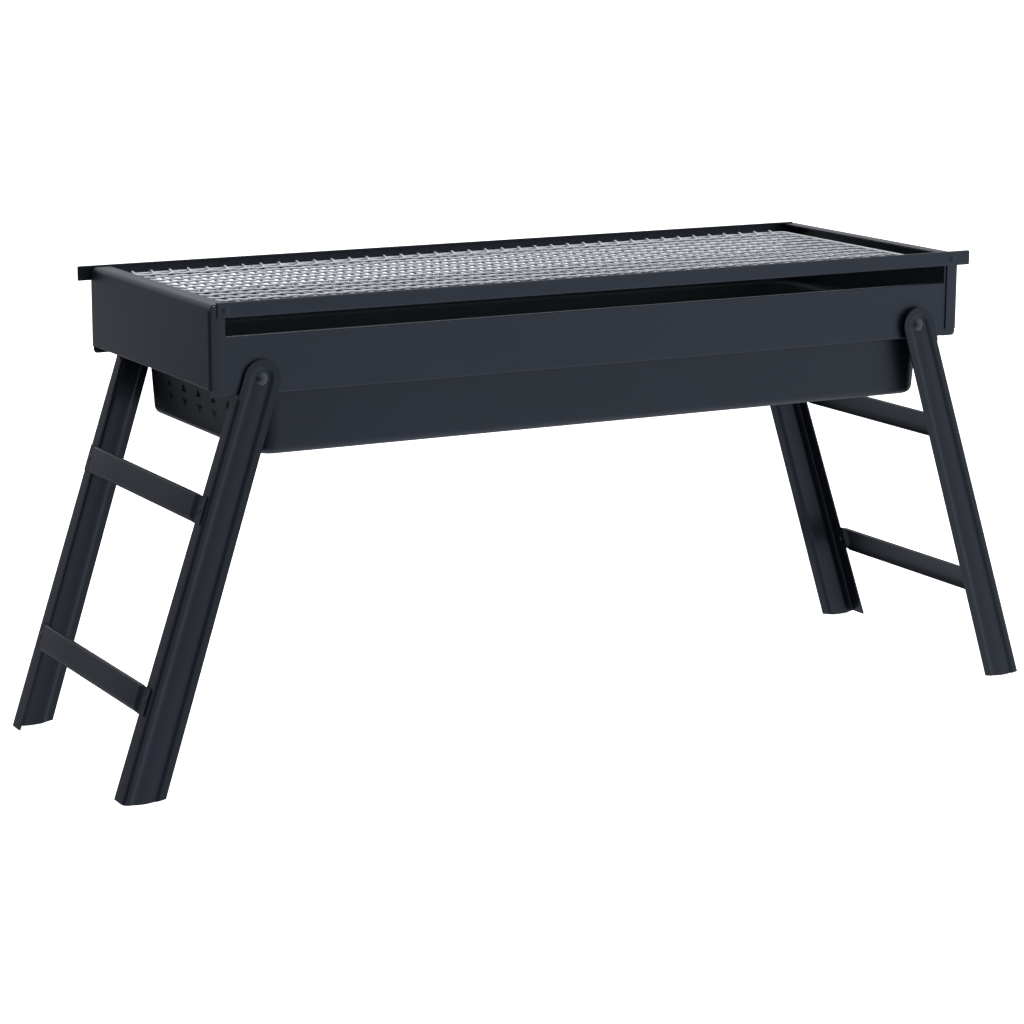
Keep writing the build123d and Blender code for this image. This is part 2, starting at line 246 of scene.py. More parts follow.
def sheetShell(outer, inner, keep=None, seams=()):
    # A closed sheet between two matching grids: each kept cell is a quad on the outer grid and one turned over on the
    # inner grid, and a rim of quads runs where a kept cell has no kept neighbour. No rim is built along a seam: U
    # counts the rows, and V the columns.
    rows, columns = outer.shape[:2]
    if keep is None:
        keep = np.ones((rows - 1, columns - 1), bool)
    index = np.arange(rows * columns).reshape(rows, columns)
    half = rows * columns
    cells = np.stack([index[:-1, :-1], index[1:, :-1], index[1:, 1:], index[:-1, 1:]], -1)[keep]
    padded = np.pad(keep, 1)
    if "lowU" in seams:
        padded[0] = padded[1]
    if "highU" in seams:
        padded[-1] = padded[-2]
    if "highV" in seams:
        padded[:, -1] = padded[:, -2]
    i, j = np.nonzero(padded[1:, 1:-1] != padded[:-1, 1:-1])
    rimU = np.stack([index[i, j], index[i, j + 1], index[i, j + 1] + half, index[i, j] + half], -1)
    i, j = np.nonzero(padded[1:-1, 1:] != padded[1:-1, :-1])
    rimV = np.stack([index[i, j], index[i + 1, j], index[i + 1, j] + half, index[i, j] + half], -1)
    faces = np.concatenate([cells, cells[:, ::-1] + half, rimU, rimV])
    points = np.concatenate([outer.reshape(-1, 3), inner.reshape(-1, 3)])
    return points, faces


def wireTubes(paths, side, radius, sides, closed=False):
    # Round wires: each path is a row of points, and a ring of the wire's radius stands on each, made of the side
    # vector and the one square to it and to the path. Open wires have a cap at each end.
    ahead = np.roll(paths, -1, 1) - np.roll(paths, 1, 1)
    if not closed:
        ahead[:, 0] = paths[:, 1] - paths[:, 0]
        ahead[:, -1] = paths[:, -1] - paths[:, -2]
    ahead /= np.linalg.norm(ahead, axis=-1, keepdims=True)
    side = np.broadcast_to(side, paths.shape)
    up = np.cross(side, ahead)
    angle = np.linspace(0, 2 * np.pi, sides, endpoint=False)[:, None]
    ring = radius * (np.cos(angle) * side[:, :, None] + np.sin(angle) * up[:, :, None])
    points = paths[:, :, None] + ring
    count, stations = paths.shape[:2]
    index = np.arange(count * stations * sides).reshape(count, stations, sides)
    if closed:
        index = np.concatenate([index, index[:, :1]], 1)
    turned = np.roll(index, -1, 2)
    faces = np.stack([index[:, :-1], index[:, 1:], turned[:, 1:], turned[:, :-1]], -1).reshape(-1, 4)
    caps = [] if closed else index[:, 0, ::-1].tolist() + index[:, -1].tolist()
    return points.reshape(-1, 3), faces, caps


pieceWork = {"weld": 2e-6, "bevelSegments": 2, "bevelFrom": 50.0}  # metres and degrees


def makePiece(name, parts, finish, body, slot, node, bevel=0.0, crease=32.0):
    # Joins closed forms, given in millimetres, into one object that rides on its body in place of the CAD node. Edges
    # sharper than the crease, in degrees, stay sharp, and cut edges are rounded by the bevel.
    points, faces, start = [], [], 0
    for part in parts:
        points.append(part[0])
        faces += (np.asarray(part[1]) + start).tolist()
        if len(part) > 2:
            faces += [[corner + start for corner in cap] for cap in part[2]]
        start += len(part[0])
    mesh = bpy.data.meshes.new(name)
    mesh.from_pydata((np.concatenate(points) * millimetre).tolist(), [], faces)
    shape = bmesh.new()
    shape.from_mesh(mesh)
    bmesh.ops.remove_doubles(shape, verts=shape.verts, dist=pieceWork["weld"])
    bmesh.ops.dissolve_degenerate(shape, edges=shape.edges, dist=pieceWork["weld"])
    bmesh.ops.recalc_face_normals(shape, faces=shape.faces)
    shape.to_mesh(mesh)
    shape.free()
    mesh.shade_smooth()
    mesh.set_sharp_from_angle(angle=math.radians(crease))
    piece = bpy.data.objects.new(name, mesh)
    scene.collection.objects.link(piece)
    mesh.materials.append(finish)
    if bevel:
        rounding = piece.modifiers.new("CutEdges", "BEVEL")
        rounding.width = bevel * millimetre
        rounding.segments = pieceWork["bevelSegments"]
        rounding.limit_method = "ANGLE"
        rounding.angle_limit = math.radians(pieceWork["bevelFrom"])
        rounding.harden_normals = True
    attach(piece, body)
    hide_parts(node)


def mirrored(part, axis):
    # The part on the other side of the middle plane square to that axis.
    points = part[0].copy()
    points[:, axis] *= -1
    return (points, *part[1:])


def halfTurned(part):
    # The part half a turn about the upright axis away.
    return mirrored(mirrored(part, 0), 1)


def bentProfile(corners, radii, thickness, steps=6):
    # A sheet's section: straight runs joined by arcs, with the outer face on the right of the way it runs. Gives the
    # outer line, the inner line one thickness to the left, and the kind of each point (0 run, 1 bend).
    corners = np.array(corners, float)
    outer, inner, kind = [], [], []
    runs = np.diff(corners, axis=0)
    ways = runs / np.linalg.norm(runs, axis=1, keepdims=True)
    lefts = np.stack([-ways[:, 1], ways[:, 0]], -1)
    outer.append(corners[:1])
    inner.append(corners[:1] + lefts[0] * thickness)
    kind.append([0])
    for corner, radius, way, nextWay, left in zip(corners[1:-1], radii, ways, ways[1:], lefts):
        turn = math.atan2(way[0] * nextWay[1] - way[1] * nextWay[0], way @ nextWay)
        cut = radius * math.tan(abs(turn) / 2)
        middle = corner - way * cut + left * radius
        angle = np.linspace(0, turn, steps + 1)[:, None]
        spoke = -left * np.cos(angle) + way * np.sin(angle)
        outer.append(middle + radius * spoke)
        inner.append(middle + (radius - thickness) * spoke)
        kind.append([1] * (steps + 1))
    outer.append(corners[-1:])
    inner.append(corners[-1:] + lefts[-1] * thickness)
    kind.append([0])
    return np.concatenate(outer), np.concatenate(inner), np.concatenate(kind)


railWork = {
    "sheet": 1.0, "hem": 3.0, "bend": 1.35, "cutEdge": 0.18,
    "ledgeInset": 3.0,  # of the ledge behind the end plates' edges
    "endStep": 1.0, "middleStep": 100.0,
}


def makeRails():
    # The front rail is a bent section (hem, face, ledge) carried along X; the ledge's cells are kept only between the
    # end plates. The rear rail is the same, half turned.
    low, high = cadCorners("front_rail")
    work = railWork
    ledgeEnd = cadCorners("right_end_plate")[0][0] + work["ledgeInset"]
    outer, inner, _ = bentProfile(
        [(low[1] + work["hem"], high[2]), (low[1], high[2]), (low[1], low[2]), (high[1], low[2])],
        [work["bend"]] * 2,
        work["sheet"],
    )
    inwards, flat = work["endStep"], work["middleStep"]
    stations = np.array([low[0], low[0] + inwards, -ledgeEnd, -flat, flat, ledgeEnd, high[0] - inwards, high[0]])
    grids = [
        np.stack(np.broadcast_arrays(stations[:, None], line[None, :, 0], line[None, :, 1]), -1)
        for line in (outer, inner)
    ]
    keep = np.ones((len(stations) - 1, len(outer) - 1), bool)
    middles = (stations[1:] + stations[:-1]) / 2
    keep[np.abs(middles) > ledgeEnd, -1] = False
    front = sheetShell(*grids, keep)
    edge = work["cutEdge"]
    makePiece("FrontRail", [front], sheetCoat, "box_frame", "coated_sheet", "front_rail", edge)
    makePiece("RearRail", [halfTurned(front)], sheetCoat, "box_frame", "coated_sheet", "rear_rail", edge)


makeRails()
print("rails made")

panelWork = {
    "sheet": 1.0, "bend": 1.3, "slotEnd": 12.0, "slotDrop": 12.5, "lip": 3.0, "hem": 2.5, "corner": 2.5,
    "endSteps": (0.0, 0.6, 1.3, 2.4, 4.0, 7.0),  # columns this far from each end follow the rounded corner
    "middleStep": 90.0, "leastRow": 0.3, "cutEdge": 0.15,
}


def makeSidePanels():
    # Two kinds of column along X. Between the slot's ends the section turns in at the slot as a lip and at the lower
    # edge as a hem. Outside them it stands straight up to the rail and its lower corner is an arc.
    low, high = cadCorners("front_side_panel")
    work = panelWork
    slotHalf = high[0] + work["sheet"] - work["slotEnd"]
    slotLow = high[2] - work["slotDrop"]
    face = low[1]
    inside = face + work["sheet"]
    outer, inner, kind = bentProfile(
        [(inside + work["lip"], slotLow), (face, slotLow), (face, low[2]), (inside + work["hem"], low[2])],
        [work["bend"]] * 2,
        work["sheet"],
    )
    count = len(outer)
    bends = np.nonzero(kind)[0]
    topBend, lowBend = bends[: len(bends) // 2], bends[len(bends) // 2:]
    outside = high[0] - np.array(work["endSteps"])
    flat = work["middleStep"]
    columns = np.concatenate([-outside, [-slotHalf, -slotHalf, -flat, flat, slotHalf, slotHalf], outside[::-1]])
    isEnd = np.abs(columns) >= slotHalf
    isEnd[[len(outside) + 1, -len(outside) - 2]] = False
    # straight columns: the lip's rows run up to the rail, the hem's rows shrink to the lower edge
    reach = np.clip(high[0] - np.abs(columns), 0, work["corner"])
    edge = low[2] + work["corner"] - np.sqrt(work["corner"] ** 2 - (work["corner"] - reach) ** 2)
    straightZ = np.zeros((len(columns), count))
    share = np.linspace(0, 1, topBend[-1] + 1)
    straightZ[:, : topBend[-1] + 1] = high[2] + (slotLow - work["bend"] - high[2]) * share
    lowShare = np.linspace(0, 1, len(lowBend))
    startLow = np.maximum(low[2] + work["bend"], edge + work["leastRow"])[:, None]
    straightZ[:, lowBend] = startLow + (edge[:, None] - startLow) * lowShare
    straightZ[:, lowBend[-1]:] = edge[:, None]
    grids = []
    for line, depth in ((outer, face), (inner, inside)):
        y = np.where(isEnd[:, None], depth, line[None, :, 0])
        z = np.where(isEnd[:, None], straightZ, line[None, :, 1])
        grids.append(np.stack([np.broadcast_to(columns[:, None], y.shape), y, z], -1))
    keep = np.ones((len(columns) - 1, count - 1), bool)
    tears = np.nonzero(isEnd[1:] != isEnd[:-1])[0]
    keep[tears, : topBend[-1]] = False
    keep[tears, lowBend[0]:] = False
    keep[isEnd[1:] & isEnd[:-1], lowBend[-1]:] = False
    front = sheetShell(*grids, keep)
    rear = halfTurned(front)
    makePiece("FrontPanel", [front], sheetCoat, "box_frame", "coated_sheet", "front_side_panel", work["cutEdge"])
    makePiece("RearPanel", [rear], sheetCoat, "box_frame", "coated_sheet", "rear_side_panel", work["cutEdge"])


makeSidePanels()
print("side panels made")

plateWork = {
    "sheet": 1.0, "top": 14.0, "side": 10.0, "bottom": 5.0, "topBend": 4.0, "sideBend": 2.4, "bottomBend": 1.6,
    "tearGap": 0.02, "underGap": 0.05, "cutEdge": 0.15, "sideSteps": 5, "bendSteps": 8,
}


def makeEndPlates():
    # The left plate: columns run round the side flanges and across the face, rows run up from the bottom flange and
    # over the top one. The top and bottom flanges keep to the columns between the side bends, and the side flanges'
    # upper edge follows the underside of the top bend.
    low, high = cadCorners("left_end_plate")
    work = plateWork
    face = low[0]
    half = high[1]
    sheet = work["sheet"]
    aroundOuter, aroundInner, _ = bentProfile(
        [(face + work["side"], -half), (face, -half), (face, half), (face + work["side"], half)][::-1],
        [work["sideBend"]] * 2,
        sheet, work["sideSteps"],
    )
    upOuter, upInner, upKind = bentProfile(
        [(face + work["bottom"], low[2]), (face, low[2]), (face, high[2]), (face + work["top"], high[2])][::-1],
        [work["topBend"], work["bottomBend"]],
        sheet, work["bendSteps"],
    )
    # rows from the top flange down; columns from +Y round to -Y
    rows = len(upOuter)
    bends = np.nonzero(upKind)[0]
    topBend, lowBend = bends[: len(bends) // 2], bends[len(bends) // 2:]
    bendTop = high[2] - work["topBend"]
    bendLow = low[2] + work["bottomBend"]
    count = len(aroundOuter)
    straight = half - work["sideBend"]
    # columns: flange and bend, the straight face with tears at its ends, bend and flange
    turned = count // 2
    order = np.concatenate([np.arange(turned), [turned - 1, turned], np.arange(turned, count)])
    sideColumn = np.concatenate([[True] * turned, [False] * 2, [True] * turned])
    straightY = np.where(np.arange(len(order)) == turned, straight, -straight)[:, None]
    shape = (len(order), rows)
    grids = []
    for around, up, inset in ((aroundOuter, upOuter, 0.0), (aroundInner, upInner, sheet)):
        sideX = around[order, 0][:, None]
        sideY = around[order, 1][:, None]
        under = np.clip(face + work["topBend"] - around[order, 0], 0, work["topBend"] - sheet)
        top = bendTop + np.sqrt((work["topBend"] - sheet) ** 2 - under ** 2) - work["underGap"]
        top = np.where(sideX[:, 0] < face + sheet, bendTop, np.maximum(top, bendTop))
        zSide = np.empty(shape)
        share = np.linspace(1, 0, topBend[-1] + 1)
        zSide[:, : topBend[-1] + 1] = bendTop + (top[:, None] - bendTop) * share
        zSide[:, lowBend] = bendLow + (low[2] - bendLow) * np.linspace(0, 1, len(lowBend))
        zSide[:, lowBend[-1]:] = low[2]
        x = np.where(sideColumn[:, None], sideX, up[None, :, 0])
        y = np.where(sideColumn[:, None], sideY, straightY)
        z = np.where(sideColumn[:, None], zSide, up[None, :, 1])
        grids.append(np.stack([x, np.broadcast_to(y, shape), z], -1))
    keep = np.ones((len(order) - 1, rows - 1), bool)
    tears = np.nonzero(sideColumn[1:] != sideColumn[:-1])[0]
    keep[tears, : topBend[-1]] = False
    keep[tears, lowBend[0]:] = False
    sides = sideColumn[1:] & sideColumn[:-1]
    keep[sides, lowBend[-1]:] = False
    plate = sheetShell(*grids, keep)
    # the top flange's ends reach out over the side flanges
    section = np.array(upOuter[: topBend[-1] + 1]), np.array(upInner[: topBend[-1] + 1])
    tops = []
    for side in (-1, 1):
        ys = np.array([side * (straight + work["tearGap"]), side * half])
        tops.append(sheetShell(*[
            np.stack(np.broadcast_arrays(line[None, :, 0], ys[:, None], line[None, :, 1]), -1) for line in section
        ]))
    parts = [plate, *tops]
    far = [halfTurned(part) for part in parts]
    makePiece("LeftEndPlate", parts, sheetCoat, "box_frame", "coated_sheet", "left_end_plate", work["cutEdge"])
    makePiece("RightEndPlate", far, sheetCoat, "box_frame", "coated_sheet", "right_end_plate", work["cutEdge"])


makeEndPlates()
print("end plates made")

panWork = {
    "sheet": 1.0, "taper": 4.0, "corner": 20.0, "rimCorner": 9.0, "mouthBend": 1.2, "floorBend": 6.0, "mouth": 548.0,
    "ventSide": 9.5, "ventHeight": 6.5, "ventMiddle": 22.5, "ventGap": 5.0, "ventSpacing": 26.0, "vents": 5,
    "mouthInset": 0.4, "ventMargin": 2.5, "leastRow": 0.2, "spots": (0.6, 0.2), "cutEdge": 0.12, "crease": 30.0,
}


def panLoop(halfLength, halfWidth, corner, endSpots, arcSteps=9):
    # One turn round a rounded rectangle as whole arrays, for each ring's half length, half width and corner radius:
    # the right end's spots, then each corner's arc and each long side in turn.
    length, width, radius = (value[:, None] for value in (halfLength, halfWidth, corner))
    spots = np.array(endSpots)[None, :]
    straight = width - radius
    share = spots / np.abs(spots).max()
    right = np.where(np.abs(share) == 1, share * straight, np.clip(spots, -straight, straight))
    quarter = np.linspace(0, np.pi / 2, arcSteps)[None, :]
    outerSpot, innerSpot = panWork["spots"]
    along = np.array([outerSpot, innerSpot, -innerSpot, -outerSpot])[None, :]
    x = np.concatenate([
        np.broadcast_to(length, right.shape),
        length - radius + radius * np.cos(quarter),
        (length - radius) * along,
        -(length - radius + radius * np.cos(quarter[:, ::-1])),
    ], 1)
    y = np.concatenate([
        right,
        straight + radius * np.sin(quarter),
        np.broadcast_to(width, (len(halfLength), along.size)),
        straight + radius * np.sin(quarter[:, ::-1]),
    ], 1)
    # the second half is the first, half turned
    x, y = np.concatenate([x, -x, x[:, :1]], 1), np.concatenate([y, -y, y[:, :1]], 1)
    return x, y


def makePan():
    # Rings run from the rim over the mouth bend, down the tapered wall, round the floor bend and in to a spine. Where
    # a vent is, the end wall's columns close in to a point at the triangle's tip and its cells are left out.
    low, high = cadCorners("charcoal_pan")
    work = panWork
    sheet = work["sheet"]
    lean = math.radians(work["taper"])
    slope = math.tan(lean)
    middle = low[2] + work["ventMiddle"]
    base, tip = work["ventGap"] / 2, work["ventGap"] / 2 + work["ventHeight"]
    aboveVents = middle + tip + work["ventMargin"]
    wallRows = np.array([aboveVents, middle + tip, middle + base, middle - base, middle - tip])
    bend, floorBend = work["mouthBend"], work["floorBend"]
    # section of the wall as (inset from the mouth, height), on the outer face, which is the rim's underside at first
    turn = np.linspace(0, math.pi / 2 - lean, 5)
    mouthInset = work["mouthInset"] + bend * np.sin(turn)
    mouth = np.stack([mouthInset, high[2] - sheet - bend * (1 - np.cos(turn))], -1)
    wallTopInset, wallTop = mouth[-1]
    wallInset = wallTopInset + (wallTop - wallRows) * slope
    wall = np.stack([wallInset, wallRows], -1)
    bendTopZ = low[2] + floorBend * (1 - math.sin(lean))
    bendTopInset = wallTopInset + (wallTop - bendTopZ) * slope
    turned = np.linspace(lean, math.pi / 2, 9)
    centreInset = bendTopInset + floorBend * math.cos(lean)
    floorRise = low[2] + floorBend - floorBend * np.sin(turned)
    floorArc = np.stack([centreInset - floorBend * np.cos(turned), floorRise], -1)
    wall = wall[wall[:, 1] > bendTopZ + work["leastRow"]]
    halfLength, halfWidth = work["mouth"] / 2, high[1]
    floorInsets = np.linspace(centreInset, halfWidth, 5)[1:]
    floor = np.stack([floorInsets, np.full_like(floorInsets, low[2])], -1)
    outer = np.concatenate([mouth, wall, floorArc, floor])
    ways = np.gradient(outer, axis=0)
    ways /= np.linalg.norm(ways, axis=1, keepdims=True)
    ways[0], ways[-1] = (1, 0), (1, 0)
    inner = outer + sheet * np.stack([-ways[:, 1], ways[:, 0]], -1)
    inner[-1, 0] = outer[-1, 0]
    centres = (np.arange(work["vents"]) - (work["vents"] - 1) / 2) * work["ventSpacing"]
    sideSpots = np.array([-1, 0, 1]) * work["ventSide"] / 2
    spots = np.concatenate([[-halfWidth], (centres[:, None] + sideSpots).ravel(), [halfWidth]])
    grids = []
    for line in (outer, inner):
        insets = np.concatenate([[0.0], line[:, 0]])
        heights = np.concatenate([[line[0, 1]], line[:, 1]])
        lengths = halfLength - insets
        lengths[0] = (high[0] - low[0]) / 2
        widths = halfWidth - insets
        corners = np.clip(work["corner"] - insets, 0.0, None)
        corners[0] = work["rimCorner"]
        corners = np.minimum(corners, widths)
        x, y = panLoop(lengths, widths, corners, spots)
        z = np.broadcast_to(heights[:, None], x.shape)
        grids.append(np.stack([x + (high[0] + low[0]) / 2, y, z], -1).transpose(1, 0, 2))
    # vents: at the two tip heights the outer columns of each vent close in on its middle
    rowHeights = np.concatenate([[outer[0, 1]], outer[:, 1]])
    half = (grids[0].shape[0] - 1) // 2
    keep = np.ones((grids[0].shape[0] - 1, grids[0].shape[1] - 1), bool)
    tipRows = np.nonzero(np.isclose(rowHeights, middle + tip) | np.isclose(rowHeights, middle - tip))[0]
    upRow = np.nonzero(np.isclose(rowHeights, middle + tip))[0][0]
    for start in (0, half):
        first = start + 1 + 3 * np.arange(work["vents"])
        for grid in grids:
            for row in tipRows:
                grid[first, row, 1] = grid[first + 1, row, 1]
                grid[first + 2, row, 1] = grid[first + 1, row, 1]
        keep[np.concatenate([first, first + 1])[:, None], [upRow, upRow + 2]] = False
    shell = sheetShell(*grids, keep, ("lowU", "highU", "highV"))
    makePiece("CharcoalPan", [shell], panCoat, "pan", "pan_coat", "charcoal_pan", work["cutEdge"], work["crease"])


makePan()
print("charcoal pan made")

meshWork = {
    "wire": 1.6, "border": 2.4, "pitch": 14.2, "sides": 10, "perPitch": 8, "corner": 4.8,
    "longWave": 0.32, "crossWave": 0.20, "settle": 0.08, "overReach": -0.7, "endGap": 0.1, "levelOff": 2.0,
    "borderSides": 14, "cornerSteps": 8, "tailSteps": 7, "crease": 70.0,
}


def makeGrillMesh():
    # The cross wires dip and the long wires rise at every crossing, as cosines of the pitch. The cross wires climb on
    # to the border wire at their ends, and the long wires stop against it.
    low, high = cadCorners("mesh_border")
    longLow, longHigh = cadCorners("mesh_long_wires")
    crossLow, crossHigh = cadCorners("mesh_cross_wires")
    work = meshWork
    pitch, wire = work["pitch"], work["wire"]
    middle = (low[2] + high[2]) / 2
    radius = wire / 2
    rowCount = round((longHigh[1] - longLow[1] - wire) / pitch) + 1
    columnCount = round((crossHigh[0] - crossLow[0] - wire) / pitch) + 1
    rows = (np.arange(rowCount) - (rowCount - 1) / 2) * pitch
    columns = (np.arange(columnCount) - (columnCount - 1) / 2) * pitch
    xReach = high[0] - work["border"] / 2
    yReach = high[1] - work["border"] / 2

    def waved(crossings, reach, level, wave, border, endLevel):
        # One wire's run and height: a cosine about its level that eases to its end level beside the border.
        steps = int(round((crossings[-1] - crossings[0]) / pitch)) * work["perPitch"] + 1
        inside = np.linspace(crossings[0], crossings[-1], steps)
        tail = (reach - crossings[-1]) * np.linspace(0, 1, work["tailSteps"])[1:]
        run = np.concatenate([crossings[0] - tail[::-1], inside, crossings[-1] + tail])
        height = level + wave * np.cos(2 * np.pi * (run - crossings[0]) / pitch)
        beyond = np.clip((np.abs(run) - crossings[-1]) / (border - work["border"] / 2 - crossings[-1]), 0, 1)
        ease = beyond * beyond * (3 - 2 * beyond)
        return run, height * (1 - ease) + endLevel * ease

    # at a crossing the two wires' middles stand one wire apart, less the depth that they settle into each other
    crossLevel = crossLow[2] + radius + work["crossWave"]
    longLevel = crossLow[2] + radius + wire - work["settle"] - work["longWave"]
    onBorder = middle + (work["border"] + wire) / 2 - work["settle"]
    longEnd = xReach - work["border"] / 2 - work["endGap"]
    x, z = waved(columns, longEnd, longLevel, work["longWave"], xReach - work["levelOff"], middle)
    longPaths = np.stack(np.broadcast_arrays(x[None], rows[:, None], z[None]), -1)
    y, z = waved(rows, yReach + work["overReach"], crossLevel, -work["crossWave"], yReach, onBorder)
    crossPaths = np.stack(np.broadcast_arrays(columns[:, None], y[None], z[None]), -1)
    for name, paths, side, node in (
        ("LongWires", longPaths, (0, 1, 0), "mesh_long_wires"),
        ("CrossWires", crossPaths, (-1, 0, 0), "mesh_cross_wires"),
    ):
        tubes = wireTubes(paths, np.array(side, float), radius, work["sides"])
        makePiece(name, [tubes], wireSteel, "mesh", "mesh_wire", node, crease=meshWork["crease"])
    quarter = np.linspace(0, np.pi / 2, work["cornerSteps"])
    corner = work["corner"]
    bendX = xReach - corner + corner * np.cos(quarter)
    bendY = yReach - corner + corner * np.sin(quarter)
    loopX = np.concatenate([bendX, -bendX[::-1], -bendX, bendX[::-1]])
    loopY = np.concatenate([bendY, bendY[::-1], -bendY, -bendY[::-1]])
    loop = np.stack([loopX, loopY, np.full_like(loopX, middle)], -1)[None]
    outward = np.concatenate([
        np.stack([np.cos(quarter), np.sin(quarter)], -1),
        np.stack([-np.cos(quarter[::-1]), np.sin(quarter[::-1])], -1),
        np.stack([-np.cos(quarter), -np.sin(quarter)], -1),
        np.stack([np.cos(quarter[::-1]), -np.sin(quarter[::-1])], -1),
    ])
    outward = np.concatenate([outward, np.zeros((len(outward), 1))], 1)[None]
    ring = wireTubes(loop, outward, work["border"] / 2, work["borderSides"], closed=True)
    makePiece("BorderWire", [ring], wireSteel, "mesh", "mesh_wire", "mesh_border", crease=work["crease"])


makeGrillMesh()
print("grill mesh made")

legWork = {
    "sheet": 1.2, "halfWidth": 13.0, "recess": 1.0, "rim": 4.6, "groove": 3.0, "crown": 0.35, "flange": 11.0,
    "bend": 2.2, "footCrown": 1.3, "swingGap": 0.3, "footHalfWidth": 14.7, "footFlange": 15.5,
    "splay": 17.9, "cutEdge": 0.15, "crease": 28.0,
    "nearTop": 6.0, "beforeFlange": 0.5, "flangeGrowth": 5.2, "pastFlange": 20.0, "aboveFoot": 12.0,
    "growthSteps": (0, 0.8, 1.6, 2.6, 3.8, 5.2, 7.0), "webRows": (9.6, 11.4), "taperFrom": 5.0,
}
barWork = {
    "reaches": (94.0, 226.0), "half": 9.5, "depth": 3.6, "slope": 4.0, "tab": 9.0, "upperBend": 1.6,
    "lowerBend": 3.2, "lowerRun": 7.0, "leastBend": 0.3, "tabStep": 0.6, "flatStep": 40.0,
}


def splayed(points, pivot):
    # Turns hanging points out by the ladder's splay about the Y axis and moves them to the left pivot.
    angle = math.radians(legWork["splay"])
    across, depth, up = points[..., 0], points[..., 1], points[..., 2]
    x = pivot[0] + across * math.cos(angle) + up * math.sin(angle)
    z = pivot[1] - across * math.sin(angle) + up * math.cos(angle)
    return np.stack([x, depth, z], -1)


def legTaper(pivot):
    # How far each edge of a leg moves out per millimetre below the pivot.
    growth = legWork["footHalfWidth"] - legWork["halfWidth"]
    return growth * math.cos(math.radians(legWork["splay"])) / pivot[1]


def flangeWidth(pivot, reach):
    # The flange widens evenly from the pivot to the foot.
    share = reach * math.cos(math.radians(legWork["splay"])) / pivot[1]
    return legWork["flange"] + (legWork["footFlange"] - legWork["flange"]) * share


def makeLegPart(pivot, legInner, panelEdge):
    # The left front leg. Columns follow the outline up the outer side, over the round top and down the inner side;
    # rows run from the flange's edge through the bend and the rim, down the pressed groove and to the middle line.
    work = legWork
    angle = math.radians(work["splay"])
    half, sheet, bend = work["halfWidth"], work["sheet"], work["bend"]
    level = sheet + work["recess"]
    drop = pivot[1] - panelEdge + work["swingGap"]
    start = (drop + half * math.sin(angle)) / math.cos(angle)
    foot = pivot[1] / math.cos(angle)
    down = np.concatenate([
        [work["nearTop"], start - work["beforeFlange"]],
        start + np.array(work["growthSteps"]),
        np.linspace(start + work["pastFlange"], foot - work["aboveFoot"], 9),
    ])
    arc = np.linspace(np.pi, 0, 25)
    bendTurn = np.linspace(np.pi / 2, 0, 6)
    grooveRun = np.linspace(0, 1, 6)
    grooveRows = work["rim"] + work["groove"] * grooveRun
    flatRows = np.array([bend, work["rim"] * 0.75, *grooveRows, *work["webRows"], half])
    # distance from the edge along the web, and the web's height above the ladder's inner face
    inGroove = np.clip((flatRows - work["rim"]) / work["groove"], 0, 1)
    crown = np.clip((flatRows - work["rim"] - work["groove"]) / (half - work["rim"] - work["groove"]), 0, 1)
    sunk = work["recess"] * inGroove ** 2 * (3 - 2 * inGroove)
    webHeight = level - sunk + work["crown"] * np.sin(crown * np.pi / 2)
    # columns: outer side from the foot up, arc, inner side down to the foot
    sideDown = np.concatenate([down[::-1], [0.0]])
    columns = 1 + len(sideDown) + len(arc[1:-1]) + len(sideDown) + 1
    isLeft = np.arange(columns) < 1 + len(sideDown)
    s = np.concatenate([[np.nan], sideDown, np.zeros(len(arc) - 2), sideDown[::-1], [np.nan]])
    phi = np.concatenate([np.full(1 + len(sideDown), np.pi), arc[1:-1], np.zeros(len(sideDown) + 1)])
    isFoot = np.isnan(s)
    s = np.where(isFoot, 0, s)
    grow = np.where(isLeft, np.clip((s - start) / work["flangeGrowth"], 0, 1), 0)
    grow = np.where(isFoot & isLeft, 1, grow)
    grow = grow * grow * (3 - 2 * grow)
    below = np.where(isFoot, foot, s)
    deep = grow * (flangeWidth(pivot, below) - bend)
    flangeRows = np.array([1.0, 0.5])
    grids = []
    for inset in (0.0, sheet):
        # rows as distance in from the outline, and height
        flangeIn = np.broadcast_to(np.full(2, 0.0), (columns, 2)) + inset * grow[:, None]
        flangeUp = (level - bend) * np.ones((columns, 2)) - deep[:, None] * flangeRows
        flatUp = level - inset
        bentIn = bend - (bend - inset) * np.sin(bendTurn)
        bentUp = level - bend + (bend - inset) * np.cos(bendTurn)
        flatIn = np.linspace(0, bend, len(bendTurn))
        bendIn = flatIn + (bentIn - flatIn) * grow[:, None]
        bendUp = flatUp + (bentUp - flatUp) * grow[:, None]
        flangeUp = bendUp[:, :1] + (flangeUp - bendUp[:, :1]) * grow[:, None]
        webIn = np.broadcast_to(flatRows[1:], (columns, len(flatRows) - 1))
        webUp = np.broadcast_to(webHeight[1:] - inset, webIn.shape)
        inward = np.concatenate([flangeIn, bendIn, webIn], 1)
        height = np.concatenate([flangeUp, bendUp, webUp], 1)
        reach = half - inward
        reach = reach + legTaper(pivot) * below[:, None] * np.clip(reach / work["taperFrom"], 0, 1)
        across = reach * np.cos(phi)[:, None]
        footEdge = work["footCrown"] * (across / half) ** 2
        footDown = (pivot[1] - footEdge - across * math.sin(angle)) / math.cos(angle)
        downward = np.where(isFoot[:, None], footDown, s[:, None] - reach * np.sin(phi)[:, None])
        local = np.stack([across, -(legInner + height), -downward], -1)
        grids.append(splayed(local, pivot))
    keep = np.ones((columns - 1, grids[0].shape[1] - 1), bool)
    noFlange = (grow[1:] <= 0) & (grow[:-1] <= 0)
    keep[noFlange, :2] = False
    return sheetShell(*grids, keep, ("highV",))


